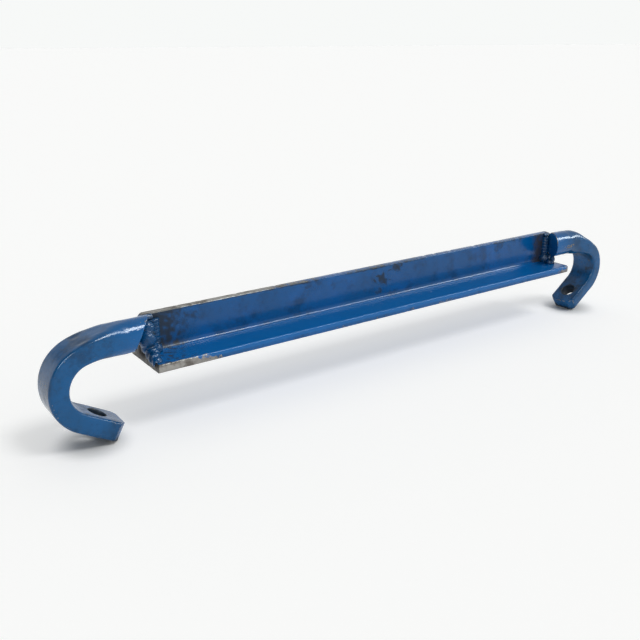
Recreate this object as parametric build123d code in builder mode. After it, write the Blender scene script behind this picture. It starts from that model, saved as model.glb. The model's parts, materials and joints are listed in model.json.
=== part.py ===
from build123d import *
from dataclasses import dataclass
from math import cos, degrees, radians, sin, tan
import os

# A short spreader beam: one length of steel tee with a forged hook welded into each end.
# Millimetres. X runs along the beam and +Z is up from the floor that the hook tips stand on.
# The tee stands on its flat leg, whose toe is at the front (-Y), and its upright leg is set in from
# the back edge. The origin is on the floor, midway between the two hooks' outermost points and
# midway across the flat leg.

# Tee
FLAT_LEG = 70.0
SECTION_HEIGHT = 50.0
LEG_THICKNESS = 9.0
REAR_LIP = 20.0
BEAM_LENGTH = 623.0
ROOT_RADIUS = 5.0
TOE_RADIUS = 1.5
CLIPPED_CORNER = 5.0
WORN_CORNER = 3.0

# Hooks: 35 mm round bar, scaled down a little in the forge and drawn flat through bend and tip
BAR_DIAMETER = 34.2
FLAT_WIDTH = 38.5
FLAT_CORNER = 3.5
FORGING_STATIONS = 4
SHANK_STOCK = 30.0
SHANK_ABOVE_HEEL = 36.85
TIP_CHAMFER = 6.5
HOLE_DIAMETER = 18.0

# Weld runs
RIPPLE_PITCH = 4.0
RIPPLE_SWELL = 0.8
TOP_RUN_RADIUS = 5.0

TOE_Y = -FLAT_LEG / 2
REAR_Y = FLAT_LEG / 2
BACK_Y = REAR_Y - REAR_LIP
INNER_Y = BACK_Y - LEG_THICKNESS
BAR_Y = INNER_Y - BAR_DIAMETER / 2


@dataclass
class Hook:
    """One hook and its welds. Lengths run along the bar's centre line from the end of the tee,
    and turns are in degrees away from the shank's own line. The shank is sawn off aslant: the cut
    crosses its centre line cut_inside the tee, swung towards the upright leg and leaning upwards."""

    name: str
    side: int
    straight: float
    round_length: float
    easy_radius: float
    easy_turn: float
    bend_radius: float
    bend_turn: float
    tip: float
    flat_thickness: float
    hole_from_end: float
    cut_inside: float
    cut_swing: float
    cut_lean: float
    top_run: tuple  # start and end, inside the tee's end
    side_run_inside: float
    side_run_radius: float
    lumps: tuple  # inside the tee's end, out from the upright leg, up from the flat leg, radius

    @property
    def easy_length(self):
        return self.easy_radius * radians(self.easy_turn)

    def on_centre_line(self, length):
        """Distance out, distance down and turn, at a length along the straight and the easy bend."""
        turn = max(0.0, length - self.straight) / self.easy_radius
        out = min(length, self.straight) + self.easy_radius * sin(turn)
        down = self.easy_radius * (1 - cos(turn))
        return out, down, degrees(turn)

    @property
    def bend_start(self):
        return self.on_centre_line(self.straight + self.easy_length)

    @property
    def bend_centre(self):
        out, down, turn = self.bend_start
        across = self.bend_radius * sin(radians(turn))
        below = self.bend_radius * cos(radians(turn))
        return out - across, down + below

    @property
    def reach(self):
        """How far the outside of the bend stands past the end of the tee."""
        return self.bend_centre[0] + self.bend_radius + self.flat_thickness / 2

    @property
    def tip_start(self):
        turn = self.easy_turn + self.bend_turn
        out, down = self.bend_centre
        out = out + self.bend_radius * sin(radians(turn))
        down = down - self.bend_radius * cos(radians(turn))
        return out, down, turn

    @property
    def shank_height(self):
        """Height of the shank's centre line when the tip's outer edge stands on the floor."""
        out, down, turn = self.tip_start
        tip_drop = self.tip * sin(radians(turn))
        return down + tip_drop - self.flat_thickness / 2 * cos(radians(turn))


LEFT = Hook(
    name="left",
    side=-1,
    straight=42.5,
    round_length=20.0,
    easy_radius=93.0,
    easy_turn=18.0,
    bend_radius=37.0,
    bend_turn=132.5,
    tip=44.0,
    flat_thickness=20.8,
    hole_from_end=26.5,
    cut_inside=-5.0,
    cut_swing=24.0,
    cut_lean=27.0,
    top_run=(-1.0, 14.0),
    side_run_inside=14.0,
    side_run_radius=7.0,
    lumps=(
        (6.0, 6.0, 28.0, 8.0),
        (3.0, 10.0, 18.0, 10.0),
        (13.0, 3.0, 3.0, 9.0),
        (6.0, 7.0, 8.0, 9.0),
        (6.0, 15.0, 3.0, 8.0),
        (4.0, 23.0, 1.0, 7.0),
        (4.0, 30.0, -1.0, 6.0),
    ),
)
RIGHT = Hook(
    name="right",
    side=1,
    straight=9.7,
    round_length=25.0,
    easy_radius=91.0,
    easy_turn=30.8,
    bend_radius=33.0,
    bend_turn=113.0,
    tip=45.5,
    flat_thickness=17.5,
    hole_from_end=22.0,
    cut_inside=11.0,
    cut_swing=-27.0,
    cut_lean=0.0,
    top_run=(0.0, 11.0),
    side_run_inside=5.0,
    side_run_radius=7.0,
    lumps=(
        (8.0, 3.0, 4.0, 9.0),
        (5.0, 10.0, 4.0, 8.0),
        (11.0, 16.0, 1.0, 6.0),
    ),
)

MIDDLE_X = (LEFT.reach - RIGHT.reach) / 2
HEEL_Z = (LEFT.shank_height + RIGHT.shank_height) / 2 - SHANK_ABOVE_HEEL
FLAT_LEG_Z = HEEL_Z + LEG_THICKNESS
TOP_Z = HEEL_Z + SECTION_HEIGHT


def place_x(hook, out):
    """X of a point that lies a distance out past the hook's end of the tee."""
    return MIDDLE_X + hook.side * (BEAM_LENGTH / 2 + out)


def bar_plane(hook, out, down, turn):
    """Cross-section plane of the bar: x is across the beam and z runs towards the tip."""
    return Plane(
        origin=(place_x(hook, out), BAR_Y, hook.shank_height - down),
        x_dir=(0, 1, 0),
        z_dir=(hook.side * cos(radians(turn)), 0, -sin(radians(turn))),
    )


def bar_section(flatness, flat_thickness):
    """The bar's section, from round at 0 to forged flat at 1."""
    width = BAR_DIAMETER + flatness * (FLAT_WIDTH - BAR_DIAMETER)
    thickness = BAR_DIAMETER + flatness * (flat_thickness - BAR_DIAMETER)
    corner = (1 - flatness) * thickness / 2 + flatness * FLAT_CORNER
    with BuildSketch() as section:
        if flatness > 0:
            RectangleRounded(width, thickness, corner)
        else:
            Circle(BAR_DIAMETER / 2)
    return section.sketch


def smooth(share):
    """Eases from 0 to 1."""
    share = min(1.0, max(0.0, share))
    return share * share * (3 - 2 * share)


def make_hook(hook):
    round_section = bar_section(0, hook.flat_thickness)
    flat_section = bar_section(1, hook.flat_thickness)
    forging_start = min(hook.round_length, hook.straight)
    forging_end = hook.straight + hook.easy_length
    bend_start = bar_plane(hook, *hook.bend_start)
    centre_out, centre_down = hook.bend_centre
    bend_axis = Axis(
        (place_x(hook, centre_out), BAR_Y, hook.shank_height - centre_down),
        (0, hook.side, 0),
    )
    tip_start = bar_plane(hook, *hook.tip_start)
    tip_end = tip_start.offset(hook.tip)
    tip_face = Plane(origin=tip_end.origin, x_dir=tip_end.x_dir, z_dir=tip_end.y_dir)
    cut = Plane(
        origin=(place_x(hook, -hook.cut_inside), BAR_Y, hook.shank_height),
        z_dir=(hook.side, tan(radians(hook.cut_swing)), tan(radians(hook.cut_lean))),
    )

    with BuildPart() as bar:
        # round shank, its inner end sawn off aslant
        with BuildSketch(bar_plane(hook, -SHANK_STOCK, 0, 0)):
            add(round_section)
        extrude(amount=SHANK_STOCK + forging_start)
        split(bisect_by=cut, keep=Keep.TOP)

        # easy bend, where the round bar is drawn down to the flat
        for station in range(FORGING_STATIONS + 1):
            length = forging_start + (forging_end - forging_start) * station / FORGING_STATIONS
            flatness = smooth((length - hook.round_length) / (forging_end - hook.round_length))
            section = bar_section(flatness, hook.flat_thickness)
            with BuildSketch(bar_plane(hook, *hook.on_centre_line(length))):
                add(section)
        loft()

        # main bend
        with BuildSketch(bend_start):
            add(flat_section)
        revolve(axis=bend_axis, revolution_arc=hook.bend_turn)

        # straight tip, its end corners cut off
        with BuildSketch(tip_start):
            add(flat_section)
        extrude(amount=hook.tip)
        with BuildSketch(tip_face):
            with BuildLine():
                Polyline(
                    (FLAT_WIDTH / 2 - TIP_CHAMFER, 0),
                    (FLAT_WIDTH / 2, TIP_CHAMFER),
                    (FLAT_WIDTH / 2, 0),
                    close=True,
                )
            make_face()
            mirror(about=Plane.YZ)
        extrude(amount=hook.flat_thickness, both=True, mode=Mode.SUBTRACT)

        # hole through the tip
        with BuildSketch(tip_face):
            with Locations((0, hook.hole_from_end)):
                Circle(HOLE_DIAMETER / 2)
        extrude(amount=hook.flat_thickness, both=True, mode=Mode.SUBTRACT)
    return bar


def make_tee():
    left_end = MIDDLE_X - BEAM_LENGTH / 2
    with BuildPart() as tee:
        with BuildSketch(Plane.YZ.offset(left_end)) as section:
            with BuildLine():
                Polyline(
                    (TOE_Y, HEEL_Z),
                    (REAR_Y, HEEL_Z),
                    (REAR_Y, FLAT_LEG_Z),
                    (BACK_Y, FLAT_LEG_Z),
                    (BACK_Y, TOP_Z),
                    (INNER_Y, TOP_Z),
                    (INNER_Y, FLAT_LEG_Z),
                    (TOE_Y, FLAT_LEG_Z),
                    close=True,
                )
            make_face()
            roots = section.vertices().filter_by(lambda v: v.X in (BACK_Y, INNER_Y) and v.Y == FLAT_LEG_Z)
            toes = section.vertices().filter_by(lambda v: v.X in (TOE_Y, REAR_Y) or v.Y == TOP_Z)
            fillet(toes, TOE_RADIUS)
            fillet(roots, ROOT_RADIUS)
        extrude(amount=BEAM_LENGTH)

        # the upright leg's top corner is clipped at the left, and the toe is worn at the right
        with BuildSketch(Plane.XZ.offset(-REAR_Y)):
            with BuildLine():
                Polyline(
                    (left_end, TOP_Z),
                    (left_end + CLIPPED_CORNER, TOP_Z),
                    (left_end, TOP_Z - CLIPPED_CORNER),
                    close=True,
                )
            make_face()
        extrude(amount=FLAT_LEG, mode=Mode.SUBTRACT)
        toe_corners = tee.edges().filter_by(Axis.Z).group_by(Axis.Y)[0]
        fillet(toe_corners.sort_by(Axis.X)[-1], WORN_CORNER)
    return tee


def make_top_run(hook, steel):
    """The run in the groove between the shank and the top of the upright leg."""
    start, end = hook.top_run
    with BuildPart() as weld:
        with BuildSketch(bar_plane(hook, -end, 0, 0)):
            with Locations((BAR_DIAMETER / 2, hook.side * (TOP_Z - hook.shank_height - TOP_RUN_RADIUS))):
                Circle(TOP_RUN_RADIUS)
        extrude(amount=end - start)
        add(steel, mode=Mode.SUBTRACT)
    return weld


def make_side_run(hook, steel):
    """The rippled run that stands between the shank's cut end and the upright leg."""
    height = TOP_Z - FLAT_LEG_Z - CLIPPED_CORNER
    ripples = round(height / RIPPLE_PITCH)
    pitch = height / ripples
    radius = hook.side_run_radius
    foot = (place_x(hook, -hook.side_run_inside), INNER_Y, FLAT_LEG_Z)
    with BuildPart() as weld:
        with BuildSketch(Plane(origin=foot, x_dir=(1, 0, 0), z_dir=(0, -1, 0))):
            with BuildLine():
                Polyline((radius, 0), (0, 0), (0, height), (radius, height))
                for ripple in range(ripples):
                    low = ripple * pitch
                    swell = (radius + RIPPLE_SWELL, low + pitch / 2)
                    ThreePointArc((radius, low), swell, (radius, low + pitch))
            make_face()
        revolve(axis=Axis(foot, (0, 0, 1)))
        add(steel, mode=Mode.SUBTRACT)
    return weld


def make_lower_run(hook, steel):
    """The lumpy fill between the shank's cut end and the flat leg."""
    with BuildPart() as weld:
        for inside, out, up, radius in hook.lumps:
            with Locations((place_x(hook, -inside), INNER_Y - out, FLAT_LEG_Z + up)):
                Sphere(radius)
        add(steel, mode=Mode.SUBTRACT)
    return weld


def save(part, name):
    part.label = name
    export_step(part, f"parts/{name}.step")


os.makedirs("parts", exist_ok=True)
tee_bar = make_tee()
save(tee_bar.part, "tee_bar")
for hook in (LEFT, RIGHT):
    bar = make_hook(hook)
    save(bar.part, f"{hook.name}_hook")
    steel = [tee_bar.part, bar.part]
    side_run = make_side_run(hook, steel)
    save(side_run.part, f"{hook.name}_side_weld")
    top_run = make_top_run(hook, steel + [side_run.part])
    save(top_run.part, f"{hook.name}_upper_weld")
    lower_run = make_lower_run(hook, steel + [side_run.part, top_run.part])
    save(lower_run.part, f"{hook.name}_lower_weld")
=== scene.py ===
"""Looks of the spreader beam: a painted, worn tee bar with a forged hook welded into each end."""
import json
from math import cos, pi, radians, sin

import bmesh
import bpy
import numpy as np
from mathutils import Matrix, Vector, noise


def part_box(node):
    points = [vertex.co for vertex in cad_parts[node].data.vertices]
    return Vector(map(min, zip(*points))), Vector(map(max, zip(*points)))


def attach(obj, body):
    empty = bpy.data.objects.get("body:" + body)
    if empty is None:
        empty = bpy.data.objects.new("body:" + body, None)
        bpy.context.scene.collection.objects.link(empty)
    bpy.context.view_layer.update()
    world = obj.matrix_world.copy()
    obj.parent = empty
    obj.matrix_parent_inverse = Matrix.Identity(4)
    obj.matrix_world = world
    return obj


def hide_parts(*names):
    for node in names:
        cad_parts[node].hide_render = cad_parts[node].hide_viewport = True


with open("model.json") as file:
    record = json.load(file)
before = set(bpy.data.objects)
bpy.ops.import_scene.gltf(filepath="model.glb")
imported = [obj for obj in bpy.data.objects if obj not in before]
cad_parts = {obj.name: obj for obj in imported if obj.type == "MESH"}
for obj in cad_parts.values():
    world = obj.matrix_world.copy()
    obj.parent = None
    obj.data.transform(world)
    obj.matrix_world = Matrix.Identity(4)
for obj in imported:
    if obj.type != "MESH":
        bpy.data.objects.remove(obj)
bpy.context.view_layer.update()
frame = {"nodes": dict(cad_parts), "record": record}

MM = 0.001
SIDES = ("left", "right")

# Camera
CAMERA_PLACE = Vector((-0.5772, -0.7144, 0.3728))
CAMERA_AZIMUTH = radians(-34.85)
CAMERA_PITCH = radians(19.36)
CAMERA_ROLL = radians(-0.40)
CAMERA_LENS = 44.3

# World: brightness, and the stretches of direction (X to the right, Z up) in which it changes
WORLD_COLOUR = (0.985, 1.0, 0.99, 1)
HORIZON_LIGHT = 0.945
OVERHEAD_LIGHT = 0.7
LEFT_SHARE = 0.2
OVERHEAD_FADE = (0.08, 0.6)
LEFT_FADE = (-0.55, 0.12)
HORIZON_FADE = (0.13, 0.34)

# Lamps
KEY_DIRECTION = (0.31, -0.46, 0.83)
KEY_POWER = 1.0
KEY_SPREAD = radians(18)
STRIP_COLOUR = (0.86, 0.97, 1.0)
STRIP_DISTANCE = 3
# name, direction, length, width, power
STRIPS = (
    ("front_strip", (0.55, -0.4, 0.73), 3.4, 0.55, 95),
    ("left_strip", (-0.6, -0.48, 0.62), 1.6, 1.0, 60),
)

# Floor
FLOOR_HALF = 200.0
FLOOR_COLOUR = (0.72, 0.72, 0.715, 1)
FLOOR_GLOW = 0.375
# from none to all of the glow, by distance from where a tip stands; the spot without glow under each
# tip is a painted contact shadow
FLOOR_GLOW_STARTS = (12 * MM, 46 * MM)

# Colours that all the paints share
# blue of the brighter paint, which on the tee's flat leg is a painted highlight
BRIGHT_AND_HIGHLIGHT_BLUE = (0.0, 0.122, 0.39)
DUST = (0.1, 0.13, 0.16)
# soot, also used for painted shade
SOOT_AND_SHADE = (0.007, 0.012, 0.014)
SCORCHED_PAINT = (0.05, 0.04, 0.032)
DULL_STEEL = (0.17, 0.16, 0.15)
RUBBED_STEEL = (0.36, 0.35, 0.33)
RUST = (0.085, 0.071, 0.06)
# sooty steel, also used for painted shade on bare steel
SOOTY_AND_SHADED_STEEL = (0.022, 0.021, 0.02)

# deep, middling and bright blue, features of the bare surface to a metre, and their depth
PAINTS = {
    "beam_paint": ((0.0, 0.038, 0.115), (0.0, 0.08, 0.25), (0.0, 0.098, 0.33), 90, 0.12 * MM),
    "hook_paint": ((0.0, 0.028, 0.08), (0.0, 0.063, 0.175), (0.0, 0.086, 0.25), 160, 0.22 * MM),
    "weld_paint": ((0.0, 0.024, 0.07), (0.0, 0.052, 0.15), (0.0, 0.07, 0.22), 400, 0.25 * MM),
}

# Depths of the fine relief
PEEL_DEPTH = 0.009 * MM
PAINT_THICKNESS = 0.12 * MM
PIT_DEPTH = 0.08 * MM

# Tee bar, beyond what its box says
LEG = 9 * MM
REAR_LIP = 20 * MM
ROOT_RADIUS = 5 * MM
TOE_RADIUS = 1.5 * MM
CLIPPED_CORNER = 5 * MM
WORN_CORNER = 3 * MM
STATION_PITCH = 2 * MM
OUTLINE_PITCH = 2 * MM
ARC_STEPS = 5

# Dents in the tee bar
UPRIGHT_STARTS = 0.3 * MM
NICKED_STRIP = 3 * MM
WAVE_DEPTH = 0.25 * MM
FLAT_LEG_WAVE_SHARE = 0.6
SAWN_STRIP = 3 * MM
SAWN_DEPTH = 0.3 * MM
SAWN_ROUGHNESS = 0.25 * MM

# Marks on the tee bar, by their distance from its left or right end. Each pair says where a mark
# is gone and where it is at its full strength.
TOP_EDGE_PALING = (80 * MM, 250 * MM)
TOE_RUBBED_LEFT = (85 * MM, 30 * MM)
TOE_RUBBED_RIGHT = (30 * MM, 8 * MM)
END_FACE = (1.6 * MM, 0.9 * MM)
LEFT_SOOT = (78 * MM, 30 * MM)
LEFT_SOOT_THICKEST = (45 * MM, 20 * MM)
LEFT_ROOT_SPECKS = (75 * MM, 20 * MM)
RIGHT_SOOT = (34 * MM, 18 * MM)
RIGHT_SCORCH = (42 * MM, 24 * MM)
CHIPS_FROM_LEFT = 60 * MM
CHIPS_REACH = 20 * MM
# dark blots on the upright leg: place from mid-length, height on the leg, reach, strength
BLOTS = (
    (5 * MM, 24 * MM, 12 * MM, 0.85),
    (28 * MM, 36 * MM, 10 * MM, 0.8),
    (0 * MM, 10 * MM, 7 * MM, 0.7),
    (-253 * MM, 30 * MM, 9 * MM, 0.6),
    (210 * MM, 34 * MM, 12 * MM, 0.6),
    (-100 * MM, 38 * MM, 14 * MM, 0.45),
)
BLOT_FLATNESS = 0.7

# Hooks. Places on them are measured from the hook's outer side and up from the floor.
HOOK_VOXEL = 0.8 * MM
HOOK_SMOOTHING = 4
HOOK_EDGE_CURVATURE = (60, 150)
HAMMER_SEED = {"left": 4.0, "right": 9.0}
TIP_FROM_OUTER = {"left": 42 * MM, "right": 45 * MM}
BEND_FROM_OUTER = 44.5 * MM
BEND_HEIGHT = 61.5 * MM
LEFT_RUB_HEIGHT = 55 * MM
RIGHT_RUB_FROM_OUTER = 74.5 * MM
RIGHT_RUB_HEIGHT = 100 * MM

# Welds
WELD_VOXEL = 0.5 * MM
WELD_SMOOTHING = 3
# the runs at each end, with the seed of each one's lumps
WELD_SEED = {"upper": 50.0, "side": 55.0, "lower": 60.0}
RIGHT_WELD_SEED_STEP = 7
RIPPLE_PITCH = 1.9 * MM
LUMP_DEPTH = 0.7 * MM
RIPPLE_DEPTH = 0.22 * MM
WELD_CREST_CURVATURE = (100, 500)


def smooth(value, low, high):
    """0 below low, 1 above high, eased between. Works on arrays too, and high may be under low."""
    share = np.clip((value - low) / (high - low), 0.0, 1.0)
    return share * share * (3 - 2 * share)


def noise_at(points, scale, seed):
    """Smooth noise from -1 to 1 at each point, with about scale features to a metre."""
    shift = Vector((seed, seed * 1.7, seed * 0.6))
    return np.array([noise.noise(Vector(p) * scale + shift) for p in points])


def noise_share_at(points, scale, seed):
    """The same noise from 0 to 1."""
    return noise_at(points, scale, seed) * 0.5 + 0.5


def strongest(*layers):
    """The highest of several layers of wear at each point."""
    return np.maximum.reduce(layers)


def add_object(name, data):
    item = bpy.data.objects.new(name, data)
    bpy.context.scene.collection.objects.link(item)
    return item


class Nodes:
    """Short forms for the nodes that the world, the floor and the paints share."""

    def __init__(self, tree, coords="Object"):
        self.tree = tree
        self.coords = tree.nodes.new("ShaderNodeTexCoord").outputs[coords]

    def link(self, output, socket):
        self.tree.links.new(output, socket)

    def put(self, value, socket):
        """Link another node's output to a socket, or set the socket to a number."""
        if isinstance(value, (int, float)):
            socket.default_value = value
        else:
            self.link(value, socket)

    def noise(self, scale, detail=4.0, rough=0.6, stretch=None):
        node = self.tree.nodes.new("ShaderNodeTexNoise")
        node.inputs["Scale"].default_value = scale
        node.inputs["Detail"].default_value = detail
        node.inputs["Roughness"].default_value = rough
        vector = self.coords
        if stretch:
            mapping = self.tree.nodes.new("ShaderNodeMapping")
            mapping.inputs["Scale"].default_value = stretch
            self.link(vector, mapping.inputs["Vector"])
            vector = mapping.outputs["Vector"]
        self.link(vector, node.inputs["Vector"])
        return node.outputs["Fac"]

    def cells(self, scale):
        node = self.tree.nodes.new("ShaderNodeTexVoronoi")
        node.inputs["Scale"].default_value = scale
        self.link(self.coords, node.inputs["Vector"])
        return node.outputs["Distance"]

    def distance_from(self, place):
        node = self.tree.nodes.new("ShaderNodeVectorMath")
        node.operation = "DISTANCE"
        self.link(self.coords, node.inputs[0])
        node.inputs[1].default_value = place
        return node.outputs["Value"]

    def x_and_z(self):
        node = self.tree.nodes.new("ShaderNodeSeparateXYZ")
        self.link(self.coords, node.inputs["Vector"])
        return node.outputs["X"], node.outputs["Z"]

    def math(self, operation, a, b):
        node = self.tree.nodes.new("ShaderNodeMath")
        node.operation = operation
        self.put(a, node.inputs[0])
        self.put(b, node.inputs[1])
        return node.outputs[0]

    def swing(self, value, reach):
        """Noise, which lies about 0.5, as an amount to add: about 0, and reach wide."""
        return self.math("MULTIPLY", self.math("SUBTRACT", value, 0.5), reach)

    def ramp(self, value, low, high, to_low=0.0, to_high=1.0, easing="SMOOTHSTEP"):
        node = self.tree.nodes.new("ShaderNodeMapRange")
        node.interpolation_type = easing
        self.link(value, node.inputs["Value"])
        node.inputs["From Min"].default_value = low
        node.inputs["From Max"].default_value = high
        node.inputs["To Min"].default_value = to_low
        node.inputs["To Max"].default_value = to_high
        return node.outputs["Result"]

    def blend(self, share, a, b):
        """From number a to number b."""
        node = self.tree.nodes.new("ShaderNodeMix")
        self.link(share, node.inputs["Factor"])
        self.put(a, node.inputs[2])
        self.put(b, node.inputs[3])
        return node.outputs[0]

    def mix(self, share, a, b):
        """From colour a to colour b."""
        node = self.tree.nodes.new("ShaderNodeMix")
        node.data_type = "RGBA"
        self.link(share, node.inputs["Factor"])
        for socket, value in ((node.inputs[6], a), (node.inputs[7], b)):
            if isinstance(value, tuple):
                socket.default_value = (*value, 1)
            else:
                self.link(value, socket)
        return node.outputs[2]

    def wear_and_painted_light(self):
        """The four channels of the mesh's wear colour, which holds painted light and shade as well as
        wear.
        """
        node = self.tree.nodes.new("ShaderNodeAttribute")
        node.attribute_name = "wear_and_painted_light"
        split = self.tree.nodes.new("ShaderNodeSeparateColor")
        self.link(node.outputs["Color"], split.inputs["Color"])
        return *(split.outputs[c] for c in ("Red", "Green", "Blue")), node.outputs["Alpha"]


# ---------------------------------------------------------------- camera, lights and floor


def make_camera():
    forward = Vector((
        -sin(CAMERA_AZIMUTH) * cos(CAMERA_PITCH),
        cos(CAMERA_AZIMUTH) * cos(CAMERA_PITCH),
        -sin(CAMERA_PITCH),
    ))
    level = Vector((cos(CAMERA_AZIMUTH), sin(CAMERA_AZIMUTH), 0))
    upright = level.cross(forward)
    right = level * cos(CAMERA_ROLL) + upright * sin(CAMERA_ROLL)
    up = upright * cos(CAMERA_ROLL) - level * sin(CAMERA_ROLL)
    turn = Matrix((right, up, -forward)).transposed().to_4x4()
    data = bpy.data.cameras.new("camera")
    data.lens = CAMERA_LENS
    data.sensor_width = 36
    data.clip_start = 0.01
    data.clip_end = 100
    camera = add_object("camera", data)
    camera.matrix_world = Matrix.Translation(CAMERA_PLACE) @ turn
    bpy.context.scene.camera = camera


def make_key_light():
    """A broad lamp a long way off, so that the floor is lit evenly to the horizon."""
    data = bpy.data.lights.new("key", "SUN")
    data.energy = KEY_POWER
    data.angle = KEY_SPREAD
    light = add_object("key", data)
    light.rotation_mode = "QUATERNION"
    light.rotation_quaternion = Vector(KEY_DIRECTION).to_track_quat("Z", "Y")


def make_strip_light(name, direction, length, width, power):
    """A long lamp that only shows in reflections, as a bright line on gloss paint."""
    data = bpy.data.lights.new(name, "AREA")
    data.shape = "RECTANGLE"
    data.size = length
    data.size_y = width
    data.energy = power
    data.color = STRIP_COLOUR
    light = add_object(name, data)
    away = Vector(direction).normalized()
    up = away.cross(Vector((1, 0, 0))).normalized()
    across = up.cross(away)
    turn = Matrix((across, up, away)).transposed().to_4x4()
    light.matrix_world = Matrix.Translation(away * STRIP_DISTANCE) @ turn
    light.visible_diffuse = False
    light.visible_camera = False


def make_world():
    """A sky that is as bright as the floor where they meet. It is dimmer overhead, and on the left
    above the horizon, which gives the outside of the left hook its depth."""
    world = bpy.data.worlds.new("studio")
    world.use_nodes = True
    sky = world.node_tree.nodes["Background"]
    sky.inputs["Color"].default_value = WORLD_COLOUR
    n = Nodes(world.node_tree, "Generated")
    x, z = n.x_and_z()
    overhead = n.ramp(z, *OVERHEAD_FADE, HORIZON_LIGHT, OVERHEAD_LIGHT, easing="LINEAR")
    upper = n.math("MULTIPLY", overhead, n.ramp(x, *LEFT_FADE, LEFT_SHARE, 1.0))
    n.link(n.blend(n.ramp(z, *HORIZON_FADE), HORIZON_LIGHT, upper), sky.inputs["Strength"])
    bpy.context.scene.world = world


def tip_on_floor(side):
    """Where a hook's tip stands."""
    low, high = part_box(f"{side}_hook")
    x = low.x + TIP_FROM_OUTER[side] if side == "left" else high.x - TIP_FROM_OUTER[side]
    return x, ((low + high) / 2).y, 0


def make_floor():
    """A pale sheet. It glows a little, which keeps the beam's shadow pale; under the tips the glow
    fades out as a painted contact shadow.
    """
    mesh = bpy.data.meshes.new("floor")
    corners = [(x * FLOOR_HALF, y * FLOOR_HALF, 0) for x, y in ((-1, -1), (1, -1), (1, 1), (-1, 1))]
    mesh.from_pydata(corners, [], [(0, 1, 2, 3)])
    floor = add_object("floor", mesh)
    material = bpy.data.materials.new("floor")
    material.use_nodes = True
    shader = material.node_tree.nodes["Principled BSDF"]
    shader.inputs["Base Color"].default_value = FLOOR_COLOUR
    shader.inputs["Emission Color"].default_value = (1, 1, 1, 1)
    shader.inputs["Roughness"].default_value = 0.9
    shader.inputs["Specular IOR Level"].default_value = 0.0
    n = Nodes(material.node_tree)
    glow = FLOOR_GLOW
    # painted contact shadow: no glow under each tip
    for side in SIDES:
        away = n.distance_from(tip_on_floor(side))
        glow = n.math("MULTIPLY", n.ramp(away, *FLOOR_GLOW_STARTS), glow)
    n.link(glow, shader.inputs["Emission Strength"])
    mesh.materials.append(material)


# ---------------------------------------------------------------- materials


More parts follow.
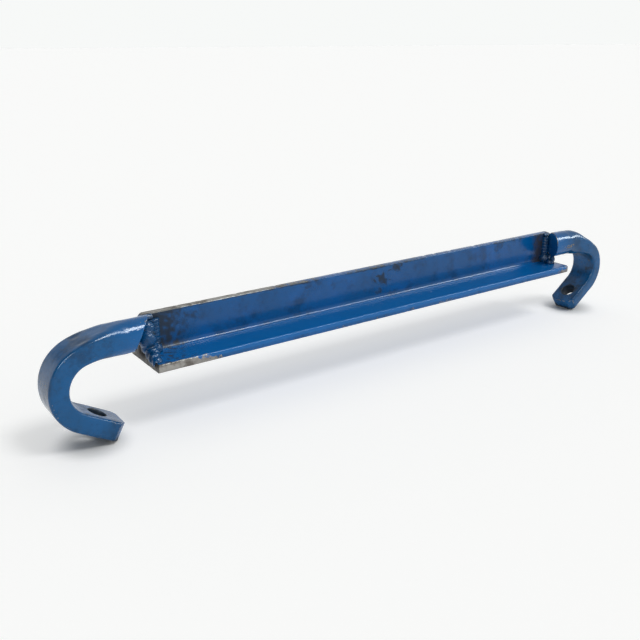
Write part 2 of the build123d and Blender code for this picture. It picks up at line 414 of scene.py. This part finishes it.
def painted_steel(name, deep, mid, bright, grain, bump):
    """Blue gloss paint that wears through to steel. The mesh's wear colour holds how far it is worn
    bare (red), its soot and painted shade (green), how scorched brown (blue), and how much brighter
    the paint is (alpha), which on the tee's flat leg is a painted highlight.
    Grain is how many features of the steel's own unevenness there are to a metre, and bump is their
    depth."""
    material = bpy.data.materials.new(name)
    material.use_nodes = True
    shader = material.node_tree.nodes["Principled BSDF"]
    n = Nodes(material.node_tree)
    bare, soot_and_shade, scorch, brighter_paint_and_highlight = n.wear_and_painted_light()

    broad = n.noise(16, 3)
    middling = n.noise(130, 5, 0.65)
    fine = n.noise(900, 4, 0.7)
    drawn = n.noise(40, 5, 0.7, (0.12, 1, 1))

    # paint: uneven coats, brighter paint, which on the tee's flat leg is a painted highlight, thin
    # where it was rubbed, then dust, soot and painted shade, and scorching on it
    coat = n.mix(n.ramp(broad, 0.35, 0.65), mid, bright)
    coat = n.mix(n.ramp(n.noise(34, 4, 0.65), 0.48, 0.7, 0, 0.7), coat, deep)
    coat = n.mix(n.ramp(middling, 0.5, 0.85, 0, 0.8), coat, deep)
    # brighter paint, which on the tee's flat leg is a painted highlight from the light above
    coat = n.mix(brighter_paint_and_highlight, coat, BRIGHT_AND_HIGHLIGHT_BLUE)
    coat = n.mix(n.ramp(drawn, 0.62, 0.8, 0, 0.35), coat, bright)
    coat = n.mix(n.ramp(fine, 0.58, 0.75, 0, 0.3), coat, DUST)
    # soot and painted shade, made uneven by noise
    grime_and_shade = n.math("ADD", soot_and_shade, n.swing(middling, 1.3))
    coat = n.mix(n.ramp(grime_and_shade, 0.3, 0.95, 0, 0.85), coat, SOOT_AND_SHADE)
    burnt = n.math("ADD", scorch, n.swing(middling, 0.9))
    coat = n.mix(n.ramp(burnt, 0.35, 0.9, 0, 0.75), coat, SCORCHED_PAINT)

    # steel: rubbed grey, browned where it has rusted, darkened by soot and painted shade
    steel = n.mix(n.ramp(drawn, 0.35, 0.7), DULL_STEEL, RUBBED_STEEL)
    rusty = n.ramp(n.noise(85, 4, 0.6), 0.45, 0.65, 0, 0.8)
    steel = n.mix(rusty, steel, RUST)
    steel = n.mix(n.ramp(grime_and_shade, 0.35, 0.9, 0, 0.8), steel, SOOTY_AND_SHADED_STEEL)

    ragged = n.math("ADD", n.swing(middling, 1.1), n.swing(fine, 0.7))
    worn = n.ramp(n.math("ADD", bare, ragged), 0.5, 0.58)
    n.link(n.mix(worn, coat, steel), shader.inputs["Base Color"])

    # gloss paint, duller with soot and painted shade, and dull steel
    paint_rough = n.ramp(middling, 0.3, 0.7, 0.1, 0.24)
    paint_rough = n.math("ADD", paint_rough, n.math("MULTIPLY", soot_and_shade, 0.35))
    steel_rough = n.ramp(fine, 0.3, 0.7, 0.36, 0.58)
    n.link(n.blend(worn, paint_rough, steel_rough), shader.inputs["Roughness"])
    n.link(n.math("MULTIPLY", worn, 0.5), shader.inputs["Metallic"])
    shader.inputs["IOR"].default_value = 1.5
    shader.inputs["Specular IOR Level"].default_value = 0.34

    # height: the steel's own unevenness under the paint, orange peel on it, and the paint's edge
    height = n.math("MULTIPLY", n.noise(grain, 3, 0.55), bump)
    peel = n.math("MULTIPLY", n.noise(1500, 2), PEEL_DEPTH)
    edge = n.math("MULTIPLY", worn, -PAINT_THICKNESS)
    pits = n.math("MULTIPLY", n.ramp(n.cells(420), 0.0, 0.35), n.math("MULTIPLY", worn, PIT_DEPTH))
    for more in (peel, edge, pits):
        height = n.math("ADD", height, more)
    relief = n.tree.nodes.new("ShaderNodeBump")
    relief.inputs["Distance"].default_value = 1.0
    n.link(height, relief.inputs["Height"])
    n.link(relief.outputs["Normal"], shader.inputs["Normal"])
    return material


# ---------------------------------------------------------------- meshes


def finish_piece(piece, nodes, material):
    """Shade and paint a piece, put it on the only body, and let it stand for its CAD nodes."""
    for polygon in piece.data.polygons:
        polygon.use_smooth = True
    piece.data.materials.clear()
    piece.data.materials.append(material)
    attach(piece, "root")
    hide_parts(*nodes)


# the wear colour: bare steel, soot and painted shade, scorch, and brighter paint that is also a
# painted highlight
def store_wear_and_painted_light(mesh, bare, soot_and_shade, scorch, brighter_paint_and_highlight):
    colours = np.stack([bare, soot_and_shade, scorch, brighter_paint_and_highlight], 1)
    layer = mesh.color_attributes.new("wear_and_painted_light", "FLOAT_COLOR", "POINT")
    layer.data.foreach_set("color", np.clip(colours, 0, 1).astype(np.float32).ravel())


def points_of(mesh):
    places = np.zeros(len(mesh.vertices) * 3)
    mesh.vertices.foreach_get("co", places)
    return places.reshape(-1, 3)


def normals_of(mesh):
    normals = np.zeros(len(mesh.vertices) * 3, np.float32)
    mesh.vertices.foreach_get("normal", normals)
    return normals.reshape(-1, 3).astype(float)


def put_points(mesh, points):
    mesh.vertices.foreach_set("co", points.astype(np.float32).ravel())
    mesh.update()


def sharpness(mesh, spacing):
    """The surface's mean curvature at each vertex, per metre: above 0 where it bulges outwards."""
    ends = np.zeros(len(mesh.edges) * 2, np.int32)
    mesh.edges.foreach_get("vertices", ends)
    a, b = ends.reshape(-1, 2).T
    points = points_of(mesh)
    total = np.zeros_like(points)
    np.add.at(total, a, points[b])
    np.add.at(total, b, points[a])
    count = np.bincount(ends, minlength=len(points))[:, None]
    inward = points - total / np.maximum(count, 1)
    return (inward * normals_of(mesh)).sum(1) * 2 / spacing**2


def voxel_copy(node, name, voxel, rounds):
    """A copy of a CAD node in even voxel faces, smoothed so that its edges are softly broken."""
    mesh = frame["nodes"][node].data.copy()
    mesh.materials.clear()
    bm = bmesh.new()
    bm.from_mesh(mesh)
    bmesh.ops.remove_doubles(bm, verts=bm.verts, dist=1e-6)
    bm.to_mesh(mesh)
    bm.free()
    piece = add_object(name, mesh)
    remesh = piece.modifiers.new("voxels", "REMESH")
    remesh.mode = "VOXEL"
    remesh.voxel_size = voxel
    even = bpy.data.meshes.new_from_object(piece.evaluated_get(bpy.context.evaluated_depsgraph_get()))
    piece.modifiers.clear()
    piece.data = even
    bm = bmesh.new()
    bm.from_mesh(even)
    all_axes = {"use_axis_x": True, "use_axis_y": True, "use_axis_z": True}
    for _ in range(rounds):
        bmesh.ops.smooth_vert(bm, verts=bm.verts, factor=0.5, **all_axes)
    bm.to_mesh(even)
    bm.free()
    even.update()
    return piece


# ---------------------------------------------------------------- the tee bar


class Tee:
    """The tee bar's levels, from its CAD box."""

    def __init__(self):
        self.low, self.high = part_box("tee_bar")
        self.flat_top = self.low.z + LEG
        self.back = self.high.y - REAR_LIP
        self.inner = self.back - LEG


def arc_corner(corner, before, after, radius):
    """Points that round a corner of an outline, from the side that comes before it to the next."""
    corner, before, after = Vector(corner), Vector(before), Vector(after)
    into = (corner - before).normalized()
    out = (after - corner).normalized()
    start = corner - into * radius
    centre = start + out * radius
    points = []
    for step in range(ARC_STEPS + 1):
        turn = pi / 2 * step / ARC_STEPS
        points.append(centre - out * radius * cos(turn) + into * radius * sin(turn))
    return points


def tee_outline(tee):
    """The tee's outline as (y, z) points, closely and evenly spaced, counter-clockwise seen
    from +X."""
    low, high = tee.low, tee.high
    corners = [
        ((low.y, low.z), TOE_RADIUS),
        ((high.y, low.z), TOE_RADIUS),
        ((high.y, tee.flat_top), TOE_RADIUS),
        ((tee.back, tee.flat_top), ROOT_RADIUS),
        ((tee.back, high.z), TOE_RADIUS),
        ((tee.inner, high.z), TOE_RADIUS),
        ((tee.inner, tee.flat_top), ROOT_RADIUS),
        ((low.y, tee.flat_top), TOE_RADIUS),
    ]
    rough = []
    for index, (corner, radius) in enumerate(corners):
        before = corners[index - 1][0]
        after = corners[(index + 1) % len(corners)][0]
        rough += arc_corner(corner, before, after, radius)
    outline = []
    for here, there in zip(rough, rough[1:] + rough[:1]):
        steps = max(1, round((there - here).length / OUTLINE_PITCH))
        outline += [here.lerp(there, step / steps) for step in range(steps)]
    return outline


def sweep_tee(tee):
    """The outline repeated along the bar, and the faces between its stations and across its ends."""
    outline = tee_outline(tee)
    ring = len(outline)
    length = tee.high.x - tee.low.x
    stations = round(length / STATION_PITCH)
    xs = [tee.low.x + length * s / stations for s in range(stations + 1)]
    points = np.array([(x, p.x, p.y) for x in xs for p in outline])
    faces = []
    for s in range(stations):
        for k in range(ring):
            j = (k + 1) % ring
            faces.append((s * ring + k, s * ring + j, (s + 1) * ring + j, (s + 1) * ring + k))
    faces.append(tuple(range(ring - 1, -1, -1)))
    faces.append(tuple(range(stations * ring, (stations + 1) * ring)))
    return points, faces


class TeeShape:
    """The tee bar's points while it is cut and dented, and where each of them lies on the bar."""

    def __init__(self, tee, points):
        self.tee = tee
        self.x, self.y, self.z = points.T
        self.from_left = self.x - tee.low.x
        self.from_right = tee.high.x - self.x
        self.upright = self.z > tee.flat_top + UPRIGHT_STARTS
        self.top_side = ~self.upright & (self.z > tee.low.z + LEG / 2)
        self.underside = ~self.upright & ~self.top_side

    def points(self):
        return np.stack([self.x, self.y, self.z], 1)

    def cut_corners(self):
        """The clipped corner lowers the upright leg, and the worn one draws in the toe."""
        tee = self.tee
        share_up = np.clip((self.z - tee.flat_top) / (tee.high.z - tee.flat_top), 0, 1)
        clipped = np.clip(CLIPPED_CORNER - self.from_left, 0, None)
        into_corner = np.clip(WORN_CORNER - self.from_right, 0, WORN_CORNER)
        drawn_in = WORN_CORNER - np.sqrt(WORN_CORNER**2 - into_corner**2)
        share_out = np.clip((tee.inner - self.y) / (tee.inner - tee.low.y), 0, 1)
        self.z = self.z - np.where(self.upright, clipped * share_up, 0)
        self.y = self.y + drawn_in * share_out

    def nicks(self, scale, seed, least, depth):
        """How deep an edge is nicked at each place along the bar."""
        along = np.stack([self.x, np.zeros_like(self.x), np.zeros_like(self.x)], 1)
        return np.clip(noise_at(along, scale, seed) - least, 0, None) * depth

    def nick_edges(self):
        """Nicks in the top, toe and rear edges, always into the steel."""
        low, high = self.tee.low, self.tee.high
        top_edge = smooth(self.z, high.z - NICKED_STRIP, high.z)
        toe_edge = smooth(self.y, low.y + NICKED_STRIP, low.y)
        rear_edge = smooth(self.y, high.y - NICKED_STRIP, high.y)
        self.z = self.z - top_edge * self.nicks(140, 3.1, 0.25, 1.1 * MM)
        toe = toe_edge * self.nicks(150, 8.7, 0.2, 1.2 * MM)
        self.y = self.y + toe - rear_edge * self.nicks(130, 12.9, 0.2, 1.2 * MM)

    def dent_faces_and_ends(self):
        """Shallow waves in every long face, and the roughness of the sawn ends."""
        before = self.points()
        wavy = noise_share_at(before, 18, 5.5) * WAVE_DEPTH
        middle = self.tee.back - LEG / 2
        self.y = self.y + np.where(self.upright & (self.y < middle), wavy, 0)
        self.y = self.y - np.where(self.upright & (self.y > middle), wavy, 0)
        wavy = wavy * FLAT_LEG_WAVE_SHARE
        self.z = self.z - np.where(self.top_side, wavy, 0) + np.where(self.underside, wavy, 0)
        sawn = SAWN_DEPTH + noise_at(before, 260, 2.2) * SAWN_ROUGHNESS
        at_left = smooth(self.from_left, SAWN_STRIP, 0)
        at_right = smooth(self.from_right, SAWN_STRIP, 0)
        self.x = self.x + at_left * sawn - at_right * sawn


class TeeWearAndPaintedLight:
    """The wear, soot, and painted light and shade on the tee bar, once it has its shape."""

    def __init__(self, shape):
        self.tee = shape.tee
        self.shape = shape
        self.x, self.y, self.z = shape.x, shape.y, shape.z
        self.from_left, self.from_right = shape.from_left, shape.from_right
        self.patch = noise_at(shape.points(), 30, 20.0)
        self.speckle = noise_at(shape.points(), 230, 31.0)
        self.up = self.z - self.tee.flat_top
        self.face = shape.upright & (self.y < self.tee.inner + 1.5 * MM)
        self.top_edge = smooth(self.z, self.tee.high.z - 1.5 * MM, self.tee.high.z - 0.6 * MM)
        self.left_end = smooth(self.from_left, *END_FACE)
        self.right_end = smooth(self.from_right, *END_FACE)
        self.near_left_weld = smooth(self.from_left + self.patch * 12 * MM, *LEFT_SOOT)
        by_root = smooth(np.abs(self.up), 6 * MM, 0)
        self.root_specks = smooth(self.from_left, *LEFT_ROOT_SPECKS) * by_root

    def on_face(self, layer):
        """A layer of wear kept to the front face of the upright leg."""
        return np.where(self.face, layer, 0)

    def bare(self):
        """Bare steel: the edges, both ends, and chips and specks by the left weld."""
        low, high = self.tee.low, self.tee.high
        paling = 0.9 - 0.55 * smooth(self.from_left, *TOP_EDGE_PALING)
        top = self.top_edge * (paling + self.patch * 0.18)
        toe_face = smooth(self.y, low.y + 2.2 * MM, low.y + 1.0 * MM)
        lower = smooth(self.z, low.z + 6.5 * MM, low.z + 2.0 * MM)
        toe = 0.14 + 0.2 * lower + 0.6 * smooth(self.from_left, *TOE_RUBBED_LEFT) + self.patch * 0.14
        toe = toe_face * (toe + 0.45 * smooth(self.from_right, *TOE_RUBBED_RIGHT))
        rear = smooth(self.y, high.y - 2.0 * MM, high.y - 1.0 * MM) * (0.42 + self.patch * 0.2)
        specks = self.root_specks * smooth(self.speckle, 0.1, 0.5) * 0.62
        chips = smooth(np.abs(self.from_left - CHIPS_FROM_LEFT), CHIPS_REACH, 0)
        chips = chips * smooth(self.up, 20 * MM, 38 * MM) * smooth(self.speckle, 0.15, 0.5) * 0.6
        ends = strongest(self.left_end * 0.95, self.right_end * 0.85)
        return strongest(top, toe, rear, ends, specks, self.on_face(chips))

    def soot_and_shade(self):
        """Soot by both welds, in patches on the top edge and in specks by the left root, and dark
        blots on the face; a darker band just under the face's top edge; sooty oxide on the left end
        face with painted shadow at its top; painted shade in the root.
        """
        low, high = self.tee.low, self.tee.high
        by_left = 0.62 + 0.35 * smooth(self.from_left, *LEFT_SOOT_THICKEST)
        by_left = self.near_left_weld * (by_left + 0.3 * self.patch + 0.45 * self.speckle)
        by_right = smooth(self.from_right + self.patch * 6 * MM, *RIGHT_SOOT)
        by_right = by_right * (0.55 + 0.4 * self.speckle)
        leg_height = high.z - self.tee.flat_top
        # a darker band just under the face's top edge
        by_edge = smooth(self.up, leg_height - 4.5 * MM, leg_height - 1.2 * MM)
        by_edge = by_edge * (0.62 + 0.4 * self.patch + 0.3 * self.near_left_weld)
        on_face = self.on_face(strongest(by_left, by_right, by_edge, self.blots()))
        specks = self.root_specks * (0.45 + 0.9 * self.speckle)
        # the left end face: sooty oxidised steel, with painted shadow from the hook's shank darkening
        # its top
        end = self.left_end * (0.75 + 0.3 * smooth(self.z, low.z, self.tee.flat_top))
        # painted shade in the root, where the upright leg meets the flat one
        root = smooth(np.abs(self.up), 9 * MM, 1 * MM) * 0.1 * (self.y > low.y + 20 * MM)
        top = self.top_edge * smooth(self.patch, 0.0, 0.5) * 0.4
        return strongest(on_face, specks, end, root, top)

    def blots(self):
        middle = (self.tee.low.x + self.tee.high.x) / 2
        blots = []
        for place, height, reach, strength in BLOTS:
            across = (self.x - middle - place) / reach
            upwards = (self.up - height) / (reach * BLOT_FLATNESS)
            away = np.sqrt(across**2 + upwards**2)
            blots.append(smooth(away + self.speckle * 0.9, 1.25, 0.5) * strength)
        return strongest(*blots)

    def scorch(self):
        """Browned paint: a band by the right weld, and the root by the left one."""
        by_right = smooth(self.from_right + self.patch * 8 * MM, *RIGHT_SCORCH) * 0.8
        by_left = self.near_left_weld * smooth(self.up, 16 * MM, 2 * MM) * 0.6
        return self.on_face(strongest(by_right, by_left))

    def brighter_paint_and_highlight(self):
        """Painted highlight: brighter paint on the top of the flat leg, which faces the light from
        above.
        """
        return np.where(self.shape.top_side & (self.y < self.tee.inner - 3 * MM), 0.85, 0)


def make_tee(material):
    """The tee bar: swept, cut at two corners and dented, then worn, with painted light and shade."""
    tee = Tee()
    points, faces = sweep_tee(tee)
    shape = TeeShape(tee, points)
    shape.cut_corners()
    shape.nick_edges()
    shape.dent_faces_and_ends()
    mesh = bpy.data.meshes.new("tee_bar_worn")
    mesh.from_pydata([tuple(p) for p in shape.points()], [], faces)
    mesh.update()
    wear_and_painted_light = TeeWearAndPaintedLight(shape)
    store_wear_and_painted_light(mesh, wear_and_painted_light.bare(), wear_and_painted_light.soot_and_shade(), wear_and_painted_light.scorch(), wear_and_painted_light.brighter_paint_and_highlight())
    piece = add_object("tee_bar_worn", mesh)
    finish_piece(piece, ["tee_bar"], material)


# ---------------------------------------------------------------- the hooks


class Hook:
    """A hook's points, where each of them lies on the hook, and the wear, grime and painted shade on
    them.
    """

    def __init__(self, side, mesh):
        self.side = side
        self.mesh = mesh
        self.low, self.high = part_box(f"{side}_hook")
        self.outer_x = self.low.x if side == "left" else self.high.x
        self.points = points_of(mesh)
        self.normals = normals_of(mesh)
        self.from_outer = np.abs(self.points[:, 0] - self.outer_x)

    def height(self):
        return self.points[:, 2] - self.low.z

    def hammer(self):
        """Cut in the hammer's flats, deepest on the drawn-out bend and tip, with scale and a fine
        skin that is deepest near the shank's cut end. The tip's underside stays almost as it is."""
        hammered = noise_share_at(self.points, 55, HAMMER_SEED[self.side])
        scale = noise_share_at(self.points, 240, 15.0)
        skin = noise_share_at(self.points, 700, 18.0)
        drawn = smooth(self.from_outer, 100 * MM, 60 * MM)
        by_cut = smooth(self.from_outer, 70 * MM, 100 * MM)
        off_floor = 0.15 + 0.85 * smooth(self.height(), 1 * MM, 6 * MM)
        depth = hammered * (0.1 + 0.35 * drawn) * MM
        depth = depth + (scale * 0.1 + skin * (0.04 + 0.2 * by_cut)) * MM
        self.points = self.points - self.normals * (depth * off_floor)[:, None]
        put_points(self.mesh, self.points)

    def find_edges(self):
        """What the wear follows on the hammered surface: its sharp edges and two sizes of noise."""
        self.edges = smooth(sharpness(self.mesh, HOOK_VOXEL), *HOOK_EDGE_CURVATURE)
        self.patch = noise_at(self.points, 70, 40.0)
        self.speckle = noise_at(self.points, 420, 44.0)

    def rubbed(self):
        """Rubbed patches on the front: the left hook's outer edge, and the right shank by its weld."""
        height = self.height()
        front = smooth(self.points[:, 1], self.low.y + 7 * MM, self.low.y + 3 * MM)
        if self.side == "left":
            place = smooth(np.abs(height - LEFT_RUB_HEIGHT), 26 * MM, 8 * MM)
            place = place * smooth(self.from_outer, 20 * MM, 6 * MM)
            return front * place * self.edges * (0.85 + 0.3 * self.speckle)
        place = smooth(np.abs(self.from_outer - RIGHT_RUB_FROM_OUTER), 16 * MM, 8 * MM)
        place = place * smooth(np.abs(height - RIGHT_RUB_HEIGHT), 4 * MM, 1.5 * MM)
        return front * place * (0.5 + 0.5 * self.speckle)

    def bare(self):
        """Bare steel: the edges, the underside that it stands on, rubbed patches and specks."""
        edge_share = 0.4 + 0.24 * smooth(self.patch, -0.1, 0.4) + 0.3 * smooth(self.speckle, 0, 0.5)
        resting = smooth(self.height(), 3.5 * MM, 1.0 * MM) * 0.75
        specks = smooth(self.speckle, 0.6, 0.72) * 0.5
        return strongest(self.edges * edge_share, resting, self.rubbed(), specks)

    def inside_bend(self):
        """1 on the inside of the bend, which faces the bend's centre."""
        inwards = 1 if self.side == "left" else -1
        centre = np.array([self.outer_x + inwards * BEND_FROM_OUTER, 0, BEND_HEIGHT])
        to_centre = centre - self.points
        to_centre[:, 1] = 0
        distance = np.linalg.norm(to_centre, axis=1)
        facing = smooth((to_centre * self.normals).sum(1) / distance, 0.35, 0.7)
        return facing * smooth(distance, 60 * MM, 45 * MM)

    def soot_and_shade(self):
        """Grime in patches, darker towards the floor and inside the bend, painted shade in the tip's
        hole, and a painted contact shadow at the foot it stands on.
        """
        height = self.height()
        # grime in patches, and darker towards the floor
        patches = 0.18 * smooth(self.patch, 0.1, 0.6) + 0.32 * smooth(height, 30 * MM, 6 * MM)
        bend = self.inside_bend() * (0.42 + 0.35 * self.patch)
        # painted shade in the tip's hole
        hole = smooth(hole_distance(self.points, self.side), 10.8 * MM, 10.0 * MM) * 1.15
        # painted contact shadow on the foot it stands on
        foot = smooth(height, 9 * MM, 3 * MM) * (0.85 + 0.3 * self.patch)
        return strongest(patches, bend, hole, foot)

    def scorch(self):
        return 0.1 * smooth(self.patch, 0.2, 0.6)

    def brighter_paint_and_highlight(self):
        """Brighter paint on the shank."""
        return 0.6 * smooth(self.from_outer, 55 * MM, 95 * MM)


def hole_distance(points, side):
    """How far each point is from the axis of the tip's hole, taken from the record's mount."""
    mount = next(m for m in frame["record"]["mounts"] if m["name"] == f"{side}_tip_hole")
    centre = np.array(mount["pos_m"])
    axis = np.array(mount["axis"]) / np.linalg.norm(mount["axis"])
    offset = points - centre
    along = offset @ axis
    beyond = np.clip(np.abs(along) - mount["dims"]["length_mm"] / 2 * MM, 0, None)
    across = np.linalg.norm(offset - np.outer(along, axis), axis=1)
    return across + beyond


def make_hook(side, material):
    """One forged hook: hammered flats, softly broken edges, and paint rubbed off where it stands."""
    node = f"{side}_hook"
    piece = voxel_copy(node, f"{side}_hook_forged", HOOK_VOXEL, HOOK_SMOOTHING)
    hook = Hook(side, piece.data)
    hook.hammer()
    hook.find_edges()
    store_wear_and_painted_light(piece.data, hook.bare(), hook.soot_and_shade(), hook.scorch(), hook.brighter_paint_and_highlight())
    finish_piece(piece, [node], material)


# ---------------------------------------------------------------- the welds


def make_weld(side, run, material):
    """A weld run: rippled and unevenly filled."""
    node = f"{side}_{run}_weld"
    piece = voxel_copy(node, f"{node}_bead", WELD_VOXEL, WELD_SMOOTHING)
    mesh = piece.data
    points = points_of(mesh)
    normals = normals_of(mesh)
    seed = WELD_SEED[run] + (0 if side == "left" else RIGHT_WELD_SEED_STEP)
    lumps = noise_share_at(points, 150, seed)
    ripples = 0.5 + 0.5 * np.sin(points[:, 2] * 2 * pi / RIPPLE_PITCH + lumps * 5)
    points = points - normals * (lumps * LUMP_DEPTH + ripples * RIPPLE_DEPTH)[:, None]
    put_points(mesh, points)
    convex = smooth(sharpness(mesh, WELD_VOXEL), *WELD_CREST_CURVATURE)
    patch = noise_at(points, 120, seed + 2)
    bare = convex * (0.15 + 0.2 * smooth(patch, 0.1, 0.5))
    soot_and_shade = 0.1 + 0.5 * smooth(-patch, 0.0, 0.5)
    scorch = 0.35 * smooth(patch, 0.05, 0.5)
    store_wear_and_painted_light(mesh, bare, soot_and_shade, scorch, np.zeros(len(points)))
    finish_piece(piece, [node], material)


# ---------------------------------------------------------------- the scene

bpy.context.scene.view_settings.view_transform = "Standard"
make_camera()
make_world()
make_key_light()
for strip in STRIPS:
    make_strip_light(*strip)
make_floor()

paints = {name: painted_steel(name, *paint) for name, paint in PAINTS.items()}
make_tee(paints["beam_paint"])
for side in SIDES:
    make_hook(side, paints["hook_paint"])
    for run in WELD_SEED:
        make_weld(side, run, paints["weld_paint"])
